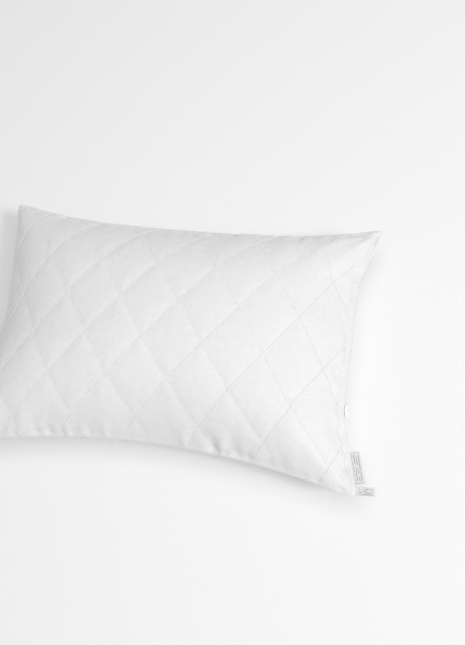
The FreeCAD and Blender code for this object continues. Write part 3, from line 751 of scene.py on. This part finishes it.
def shape_edge(grid, side, along, across):
    """Rolls the cloth round at the seam, and opens the two lips of the zip."""
    s, t = flat_places(along, across)
    edge = edge_distance(s, t)
    from_zip = HALF[0] - s
    corner = np.maximum(HALF[0] - np.abs(s), HALF[1] - np.abs(t))
    # the roll stands out twice as far on the zip's side, and runs out at the corners
    lip_out = LIP_OUT * (1 + (from_zip < HALF[1] - np.abs(t))) * smooth_step(0, 14 * MM, corner)
    roll = lip_out * np.exp(-((edge - LIP_WIDTH) / LIP_WIDTH) ** 2)
    roll -= SEAM_TUCK * np.exp(-edge / SEAM_TUCK_WIDTH)
    ends = smooth_step(-2 * MM, 2 * MM, (HALF[1] - np.abs(t)) - (HALF[0] - np.abs(s)))
    grid[..., 0] += roll * ends * np.sign(s)
    grid[..., 1] += roll * (1 - ends) * np.sign(t)
    window = zip_window(grid[..., 1]) * (s > 0)
    lift = LIP_HEIGHT * window * np.exp(-(from_zip / LIP_REACH) ** 2)
    grid[..., 2] += side * lift
    # the turned-back fold along the zip's side stands up beside the row of stitches that draws it down
    fade = smooth_step(4 * MM, 20 * MM, HALF[1] - np.abs(t))
    pull = read_row(GROOVE_FIELD[side], t / HALF[1])
    groove = np.exp(-((from_zip - TOPSTITCH_INSET) / GROOVE_WIDTH) ** 2) * fade * pull
    ridge = np.exp(-((from_zip - LIP_WIDTH) / LIP_WIDTH) ** 2) * fade
    grid[..., 0] -= 0.5 * GROOVE_DEPTH * groove
    grid[..., 2] += side * RIDGE_HEIGHT * ridge
    rise = side * (grid[..., 2] - SEAM_Z)
    drawn_down = np.maximum(rise - GROOVE_DEPTH * groove, np.minimum(rise, GROOVE_ROOM))
    # the cloth passes over the zip's tape, which leans inwards from the coil to its far edge
    over_tape = smooth_step(TAPE_HIGH.x, TAPE_LOW.x + TAPE_EDGE, grid[..., 0])
    cover = LIP_HEIGHT + (TAPE_HIGH.z - SEAM_Z + TAPE_ROOM - LIP_HEIGHT) * over_tape
    cover = cover * window * smooth_step(COVER_END, COVER_FULL, from_zip)
    grid[..., 2] = SEAM_Z + side * np.maximum(drawn_down, cover)
    wander = EDGE_WANDER * read_row(WANDER_FIELD, t / HALF[1])
    grid[..., 0] += wander * fade * np.exp(-from_zip / WANDER_REACH)
    return grid


def make_fabric(side, name, node):
    """One outer panel: the quilted face, its rolled edge and its turned-in hem, as a single sheet."""
    along, across = edge_places(HALF[0]), edge_places(HALF[1])
    grid = panel_grid(side, along, across, room=CLOTH_ROOM)
    grid = shape_edge(grid, side, along, across)
    index = number_points(grid)
    s, t = flat_places(along, across)
    points = [grid.reshape(-1, 3)]
    uv = [np.stack([s.ravel(), t.ravel()], -1)]
    faces = [grid_faces(index, side)]
    ring = border(index)
    edge_along = border(np.broadcast_to(along[:, None], index.shape))
    edge_across = border(np.broadcast_to(across[None, :], index.shape))
    edge_points = grid.reshape(-1, 3)[ring]
    used = len(points[0])
    for width in HEM_ROWS:
        x, y = outline(edge_along * (1 - width / HALF[0]), edge_across * (1 - width / HALF[1]))
        hem_z = edge_points[:, 2] + side * 0.1 * MM * np.sin(edge_along * 61 + edge_across * 47)
        points.append(np.stack([x, y, hem_z], -1))
        uv.append(np.stack([edge_along * (HALF[0] + width), edge_across * (HALF[1] + width)], -1))
        new_ring = used + np.arange(len(ring))
        strip = np.stack([new_ring, np.roll(new_ring, -1), np.roll(ring, -1), ring], -1)
        faces.append(strip if side == TOP else strip[:, ::-1])
        used += len(ring)
        ring = new_ring
    piece = make_piece(name, np.concatenate(points), np.concatenate(faces), MICROFIBRE,
                       uv=np.concatenate(uv) + HALF)
    thicken(piece, CLOTH_THICKNESS)
    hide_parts(node)
    return {"along": along, "across": across, "grid": grid, "normal": normals_of(grid, side)}


def read_panel(panel, s, t):
    """Points and normals of a finished panel at single flat places, straight between its grid points."""
    position = []
    for places, wanted, half in ((panel["along"], s, HALF[0]), (panel["across"], t, HALF[1])):
        share = np.clip(wanted / half, -1, 1)
        low = np.clip(np.searchsorted(places, share) - 1, 0, len(places) - 2)
        part = (share - places[low]) / (places[low + 1] - places[low])
        position.append((low, part))
    (i, u), (j, v) = position
    read = []
    for values in (panel["grid"], panel["normal"]):
        near = values[i, j] * (1 - v)[..., None] + values[i, j + 1] * v[..., None]
        far = values[i + 1, j] * (1 - v)[..., None] + values[i + 1, j + 1] * v[..., None]
        read.append(near * (1 - u)[..., None] + far * u[..., None])
    return read


# ---- Quilting stitches ----
# The lines that rise to the right are sewn closely, and the falling ones with a longer, more open stitch
STITCHES = {1: (3.1 * MM, 2.9 * MM), -1: (4.4 * MM, 2.6 * MM)}  # slope: (pitch, length)
STITCH_RADIUS = 0.5 * MM
QUILTING_MARGIN = 3 * MM  # the lines stop this far short of the seam
FEWEST_STITCHES = 4  # a corner's line that would be shorter is left out


def quilting_starts():
    """Start, direction, length and stitch of every quilting line, cut off at the seam, in flat metres."""
    room = HALF - QUILTING_MARGIN
    lines = []
    reach = 2 * round((HALF[0] / DIAMOND_HALF_LENGTH + HALF[1] / DIAMOND_HALF_WIDTH) / 2) + 4
    for slope in (1, -1):
        direction = np.array([DIAMOND_HALF_LENGTH, slope * DIAMOND_HALF_WIDTH])
        direction /= np.linalg.norm(direction)
        for number in range(-reach, reach + 1, 2):
            start = np.array([CROSSING[0] + number * DIAMOND_HALF_LENGTH, CROSSING[1]])
            with np.errstate(divide="ignore"):
                limits = np.stack([(-room - start) / direction, (room - start) / direction])
            first, last = limits.min(axis=0).max(), limits.max(axis=0).min()
            if last - first > FEWEST_STITCHES * STITCHES[slope][0]:
                lines.append((start + first * direction, direction, last - first, STITCHES[slope]))
    return lines


def make_quilting(panel, name, node):
    """The visible stitches of both families on one panel, each a short bowed length of thread."""
    lines, away = [], []
    bow = np.array([-0.35, 0.35, 0.5, 0.35, -0.35]) * STITCH_RADIUS
    for start, direction, length, (pitch, stitch) in quilting_starts():
        count = int(length / pitch)
        first = np.arange(count) * pitch + chance.uniform(0, pitch / 2)
        along_stitch = np.linspace(0, stitch, len(bow))
        place = start + (first[:, None, None] + along_stitch[None, :, None]) * direction
        sideways = np.array([-direction[1], direction[0]])
        place = place + chance.normal(0, 0.08 * MM, (count, 1, 1)) * sideways
        point, normal = read_panel(panel, place[..., 0], place[..., 1])
        lines.append(point + normal * (STITCH_RADIUS * 0.8 + bow)[None, :, None])
        away.append(normal)
    piece = tubes(name, np.concatenate(lines), np.concatenate(away), STITCH_RADIUS, QUILT_THREAD)
    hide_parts(node)


# ---- Wadding, backing and filling ----
def closed_shell(name, upper, lower, finish, slot):
    """A closed mesh from an upper and a lower grid of the same size, joined round their borders."""
    index = number_points(upper)
    below = index + index.size
    ring, low_ring = border(index), border(below)
    wall = np.stack([ring, low_ring, np.roll(low_ring, -1), np.roll(ring, -1)], -1)
    faces = np.concatenate([grid_faces(index, TOP), grid_faces(below, BOTTOM), wall])
    points = np.concatenate([upper.reshape(-1, 3), lower.reshape(-1, 3)])
    return make_piece(name, points, faces, finish)


LAYER_STEP = 4 * MM


def layer_places(inset):
    """Places along and across for a layer that stops an inset short of the seam."""
    places = []
    for half in HALF:
        reach = half - inset
        places.append(np.linspace(-reach / half, reach / half, round(2 * reach / LAYER_STEP) + 1))
    return places


def make_wadding(side, name, node):
    """Quilting wadding: thick in the diamonds, pressed thin under the lines of stitches."""
    inset, face_depth, back_depth = 12 * MM, 1.4 * MM, 6.8 * MM
    along, across = layer_places(inset)
    face = panel_grid(side, along, across, 0.9, face_depth, room=1.1 * MM)
    back = panel_grid(side, along, across, 0.1, back_depth, room=0.8 * MM)
    upper, lower = (face, back) if side == TOP else (back, face)
    piece = closed_shell(name, upper, lower, WADDING, "wadding")
    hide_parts(node)


def make_backing(side, name, node):
    """Thin non-woven sheet behind the wadding."""
    inset, depth = 13 * MM, 7.2 * MM
    along, across = layer_places(inset)
    grid = panel_grid(side, along, across, 0.1, depth, room=0.6 * MM)
    index = number_points(grid)
    piece = make_piece(name, grid.reshape(-1, 3), grid_faces(index, side), BACKING)
    thicken(piece, 0.3 * MM)
    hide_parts(node)


def make_filling():
    """Loose fibre: one lumpy body that fills the space inside both backings."""
    inset, depth = 14 * MM, 8.6 * MM
    along, across = layer_places(inset)
    lumps = np.random.default_rng(5).uniform(0, 1, (2, 46, 31))
    grids = []
    for side, field in ((TOP, lumps[0]), (BOTTOM, lumps[1])):
        grid = panel_grid(side, along, across, 0.0, depth, room=0.2 * MM)
        rise = np.abs(grid[..., 2] - SEAM_Z)
        hollow = 2.5 * MM * read_field(field, along, across) * smooth_step(4 * MM, 16 * MM, rise)
        grids.append(grid - normals_of(grid, side) * hollow[..., None])
    piece = closed_shell("fibre_filling_lumps", *grids, FIBRE, "filling")
    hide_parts("fibre_filling")


# ---- Seam: turned-in allowance, lockstitches and overlocked raw edge ----
def seam_path(inset, spacing):
    """Points round the seam at an inset, about a spacing apart, and whether each lies along the zip."""
    pairs = []
    # front, right, back and left: the axis that each runs along, the way it runs, and its place on the other
    for axis, way, fixed in ((0, 1, -1.0), (1, 1, 1.0), (0, -1, 1.0), (1, -1, -1.0)):
        steps = way * np.linspace(-1, 1, round(2 * HALF[axis] / spacing), endpoint=False)
        other = np.full(len(steps), fixed)
        pairs.append(np.stack([steps, other] if axis == 0 else [other, steps], -1))
    places = np.concatenate(pairs)
    along = places[:, 0] * (1 - inset / HALF[0])
    across = places[:, 1] * (1 - inset / HALF[1])
    x, y = outline(along, across)
    on_zip = (x > 0.8 * REACH_X) & (y > ZIP_START - LIP_RAMP) & (y < ZIP_END + LIP_RAMP)
    return np.stack([x, y, np.full(len(x), SEAM_Z)], -1), on_zip & (places[:, 0] == 1)


def make_allowance():
    """The strip of both panels' cloth that is turned in beyond the stitching, as a slightly wavy band."""
    rows = []
    for inset in (3.2, 5, 7, 9, 10.8):
        ring, _ = seam_path(inset * MM, 4 * MM)
        ring[:, 2] += 0.12 * MM * np.sin(np.arange(len(ring)) * 0.9 + inset)
        rows.append(ring)
    band = np.stack(rows)
    index = number_points(band)
    beside = np.roll(index, -1, axis=1)
    faces = np.stack([index[:-1], beside[:-1], beside[1:], index[1:]], -1).reshape(-1, 4)
    piece = make_piece("turned_in_allowance", band.reshape(-1, 3), faces, PLAIN_MICROFIBRE)
    thicken(piece, 0.3 * MM, 0.0)
    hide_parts("seam_allowance")


def stitch_ring(name, node, inset, pitch, length, radius, lift):
    """Lockstitches all round at an inset, above and below the seam in turn."""
    path, on_zip = seam_path(inset, pitch)
    ahead = np.roll(path, -1, axis=0) - path
    ahead /= np.linalg.norm(ahead, axis=-1, keepdims=True)
    sewn = ~on_zip
    share = np.linspace(0, 1, 4)
    lines = path[sewn, None] + ahead[sewn, None] * length * share[None, :, None]
    flip = np.where(np.arange(len(lines)) % 2 == 0, 1, -1)
    lines[..., 2] += flip[:, None] * (lift + 0.2 * MM * np.sin(share * np.pi))
    away = np.zeros_like(lines)
    away[..., 2] = 1
    piece = tubes(name, lines, away, radius, SEAM_THREAD, sides=5)
    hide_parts(node)


def make_overlock():
    """Thread looped round the raw edge of the allowance, one long open spiral."""
    path, _ = seam_path(10 * MM, 2.4 * MM)
    steps_per_loop = 8
    count = len(path) * steps_per_loop
    where = np.arange(count) / steps_per_loop
    low = where.astype(int)
    part = (where - low)[:, None]
    middle = path[low] * (1 - part) + path[(low + 1) % len(path)] * part
    ahead = np.roll(middle, -steps_per_loop, axis=0) - middle
    ahead /= np.linalg.norm(ahead, axis=-1, keepdims=True)
    inward = np.stack([-ahead[:, 1], ahead[:, 0], np.zeros(count)], -1)
    turn = 2 * np.pi * where
    line = middle + inward * (1.3 * MM * np.cos(turn))[:, None]
    line[:, 2] += 0.75 * MM * np.sin(turn)
    away = middle - line
    piece = tubes("overlock_loops", line[None], away[None], 0.14 * MM, OVERLOCK_THREAD, sides=5, taper=False)
    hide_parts("overlock_thread")


# ---- Zip ----
def make_coil(name, node):
    """A spiral of nylon monofilament in the place of the CAD coil, flattened where it meets its twin."""
    low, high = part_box(node)
    radius = 0.24 * MM
    pitch = 1.25 * MM
    middle = (low + high) / 2
    half = (high - low) / 2
    turns = (high.y - low.y - 2 * radius) / pitch
    steps = np.arange(int(turns * 12) + 1) / 12
    turn = 2 * np.pi * steps
    line = np.stack([
        middle.x + (half.x - radius) * np.cos(turn),
        low.y + radius + steps * pitch,
        middle.z + (half.z - radius) * np.sin(turn),
    ], -1)
    away = line - np.array([middle.x, 0, middle.z]) * [1, 0, 1] - line * [0, 1, 0]
    piece = tubes(name, line[None], away[None], radius, NYLON, sides=8, taper=False)
    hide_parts(node)


def make_topstitch(panel, name, node):
    """A row of stitches that holds a lip of the zip to its tape."""
    pitch, length, radius = 3 * MM, 2.3 * MM, 0.27 * MM
    y = np.arange(ZIP_START - 4 * MM, ZIP_END + 4 * MM - length, pitch)
    share = np.linspace(0, 1, 5)
    across = (y[:, None] + share * length) / REACH_Y
    point, normal = read_panel(panel, np.full(across.shape, HALF[0] - TOPSTITCH_INSET), across * HALF[1])
    bow = np.array([-0.3, 0.3, 0.45, 0.3, -0.3]) * radius
    lines = point + normal * (radius * 0.6 + bow)[None, :, None]
    piece = tubes(name, lines, normal, radius, QUILT_THREAD)
    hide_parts(node)


def make_tacks():
    """Dense bars of thread across the two ends of the zip."""
    low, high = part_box("zip_end_tacks")
    wraps = 9
    bar = 2.6 * MM
    lines = []
    for end in (low.y + bar / 2, high.y - bar / 2):
        for number in range(wraps):
            y = end + (number / (wraps - 1) - 0.5) * bar
            tilt = 0.25 * MM * (-1) ** number
            z = np.linspace(low.z, high.z, 7)
            share = np.linspace(-1, 1, 7)
            x = high.x + 0.7 * MM * (1 - share ** 2) + 0.1 * MM
            lines.append(np.stack([x, y + tilt * share, z], -1))
    lines = np.array(lines)
    away = np.zeros_like(lines)
    away[..., 0] = 1
    piece = tubes("zip_bar_tacks", lines, away, 0.2 * MM, SEAM_THREAD)
    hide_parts("zip_end_tacks")


# ---- Labels ----
def make_label(name, node, finish, middle, lean, root, tip, width, curl, droop, twist):
    """A satin label sewn in at its root, a little curled, that hangs out of the seam to its tip."""
    out, side = np.meshgrid(np.linspace(0, 1, 30), np.linspace(-1, 1, 26), indexing="ij")
    outward = -root + (root + tip) * out
    sideways = width / 2 * side
    free = np.clip(outward / tip, 0, 1)
    outward = outward - 0.03 * tip * free ** 2
    z = SEAM_Z - droop * free ** 2 + (curl * side ** 2 + twist * side) * free
    z = z + 0.35 * MM * np.sin(6 * out + 2.5 * side) * free
    turn = math.radians(lean)
    x = middle[0] + outward * math.cos(turn) - sideways * math.sin(turn)
    y = middle[1] + outward * math.sin(turn) + sideways * math.cos(turn)
    grid = np.stack([x, y, z], -1)
    uv = np.stack([out * (root + tip), (side + 1) / 2 * width], -1).reshape(-1, 2)
    faces = grid_faces(number_points(grid), TOP)
    piece = make_piece(name, grid.reshape(-1, 3), faces, finish, uv=uv)
    inside_edges = smooth_step(0.08, 0.2, 1 - np.abs(side)) * smooth_step(0.06, 0.12, 1 - out)
    printed = inside_edges * smooth_step(0.1, 0.2, free)
    # painted shadow: marks the label's one long edge, where the material darkens it as the shade of a fold
    painted_fold_shadow = smooth_step(0.94, 0.98, -side)
    for attribute_name, values in (("printed", printed), ("painted_fold_shadow", painted_fold_shadow)):
        attribute = piece.data.attributes.new(attribute_name, "FLOAT", "POINT")
        attribute.data.foreach_set("value", values.ravel())
    thicken(piece, 0.35 * MM, 0.0)
    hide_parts(node)


# ---- Build everything ----
PANELS = {}
for panel_side, word in ((TOP, "top"), (BOTTOM, "bottom")):
    panel = make_fabric(panel_side, f"{word}_panel_cloth", f"{word}_panel_fabric")
    PANELS[panel_side] = panel
    make_quilting(panel, f"{word}_quilting_stitches", f"{word}_quilting_thread")
    make_wadding(panel_side, f"{word}_wadding_layer", f"{word}_panel_wadding")
    make_backing(panel_side, f"{word}_backing_layer", f"{word}_panel_backing")
make_filling()
make_allowance()
stitch_ring("seam_lockstitches", "seam_stitching", 5 * MM, 3 * MM, 2.4 * MM, 0.2 * MM, 0.5 * MM)
make_overlock()
for word, panel_side in (("upper", TOP), ("lower", BOTTOM)):
    make_coil(f"zip_spiral_{word}", f"zip_coil_{word}")
    make_topstitch(PANELS[panel_side], f"zip_lip_stitches_{word}", f"zip_topstitch_{word}")
make_tacks()
make_label("care_label_ribbon", "care_label", CARE_LABEL, middle=(287.5 * MM, -162 * MM), lean=15.4,
           root=8 * MM, tip=15 * MM, width=43 * MM, curl=1.2 * MM, droop=1.2 * MM, twist=0.8 * MM)
make_label("size_label_ribbon", "size_label", SIZE_LABEL, middle=(296 * MM, -190.95 * MM), lean=4,
           root=9 * MM, tip=26 * MM, width=11.5 * MM, curl=0.5 * MM, droop=0.8 * MM, twist=-0.4 * MM)

for node, finish in (("zip_tape_upper", TAPE), ("zip_tape_lower", TAPE), ("zip_slider", METAL),
                     ("zip_pull", METAL)):
    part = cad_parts[node]
    for material_slot in part.material_slots:
        material_slot.material = finish
for node, width in (("zip_slider", 0.35 * MM), ("zip_pull", 0.25 * MM)):
    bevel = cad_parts[node].modifiers.new("cast_edges", "BEVEL")
    bevel.width = width
    bevel.segments = 3
    bevel.limit_method = "ANGLE"
    bevel.angle_limit = math.radians(40)

# ---- Floor, light and camera ----
floor = add_square("floor", 4.0)
floor.data.materials.append(Finish("pale_floor", (0.9, 0.9, 0.9), 0.9).material)

world = bpy.data.worlds.new("studio")
bpy.context.scene.world = world
world.use_nodes = True
background = world.node_tree.nodes["Background"]
background.inputs["Color"].default_value = (1, 1, 1, 1)
background.inputs["Strength"].default_value = 0.47


def way_back(azimuth, elevation):
    """Direction away from the pillow. Azimuth 0 is in front of it (-Y), and 90 on its right (+X)."""
    turn, tilt = math.radians(azimuth), math.radians(elevation)
    return Vector((math.sin(turn) * math.cos(tilt), -math.cos(turn) * math.cos(tilt), math.sin(tilt)))


def softbox(name, azimuth, elevation, distance, size, power):
    """A square lamp that faces the pillow."""
    lamp = bpy.data.lights.new(name, "AREA")
    lamp.size = size
    lamp.energy = power
    holder = add_object(name, lamp)
    back = way_back(azimuth, elevation)
    holder.location = Vector((0, 0, SEAM_Z)) + back * distance
    holder.rotation_euler = (-back).to_track_quat("-Z", "Y").to_euler()


softbox("key", 72, 46, 4.5, 1.0, 72)
softbox("overhead", 90, 80, 3, 2.0, 28)

TARGET = Vector((91.6 * MM, 30.5 * MM, SEAM_Z))
CAMERA_AZIMUTH = 29.43
CAMERA_ELEVATION = 68.17
CAMERA_ROLL = -21.96
CAMERA_DISTANCE = 1119 * MM
FOCAL_IN_PIXELS = 750
FRAME_HEIGHT = 645

camera_data = bpy.data.cameras.new("camera")
camera_data.sensor_width = 36
camera_data.lens = FOCAL_IN_PIXELS / FRAME_HEIGHT * camera_data.sensor_width
camera = add_object("camera", camera_data)
back = way_back(CAMERA_AZIMUTH, CAMERA_ELEVATION)
roll = Quaternion((0, 0, 1), math.radians(CAMERA_ROLL))
camera.rotation_mode = "QUATERNION"
camera.location = TARGET + back * CAMERA_DISTANCE
camera.rotation_quaternion = (-back).to_track_quat("-Z", "Y") @ roll
bpy.context.scene.camera = camera
bpy.context.scene.view_settings.view_transform = "Standard"
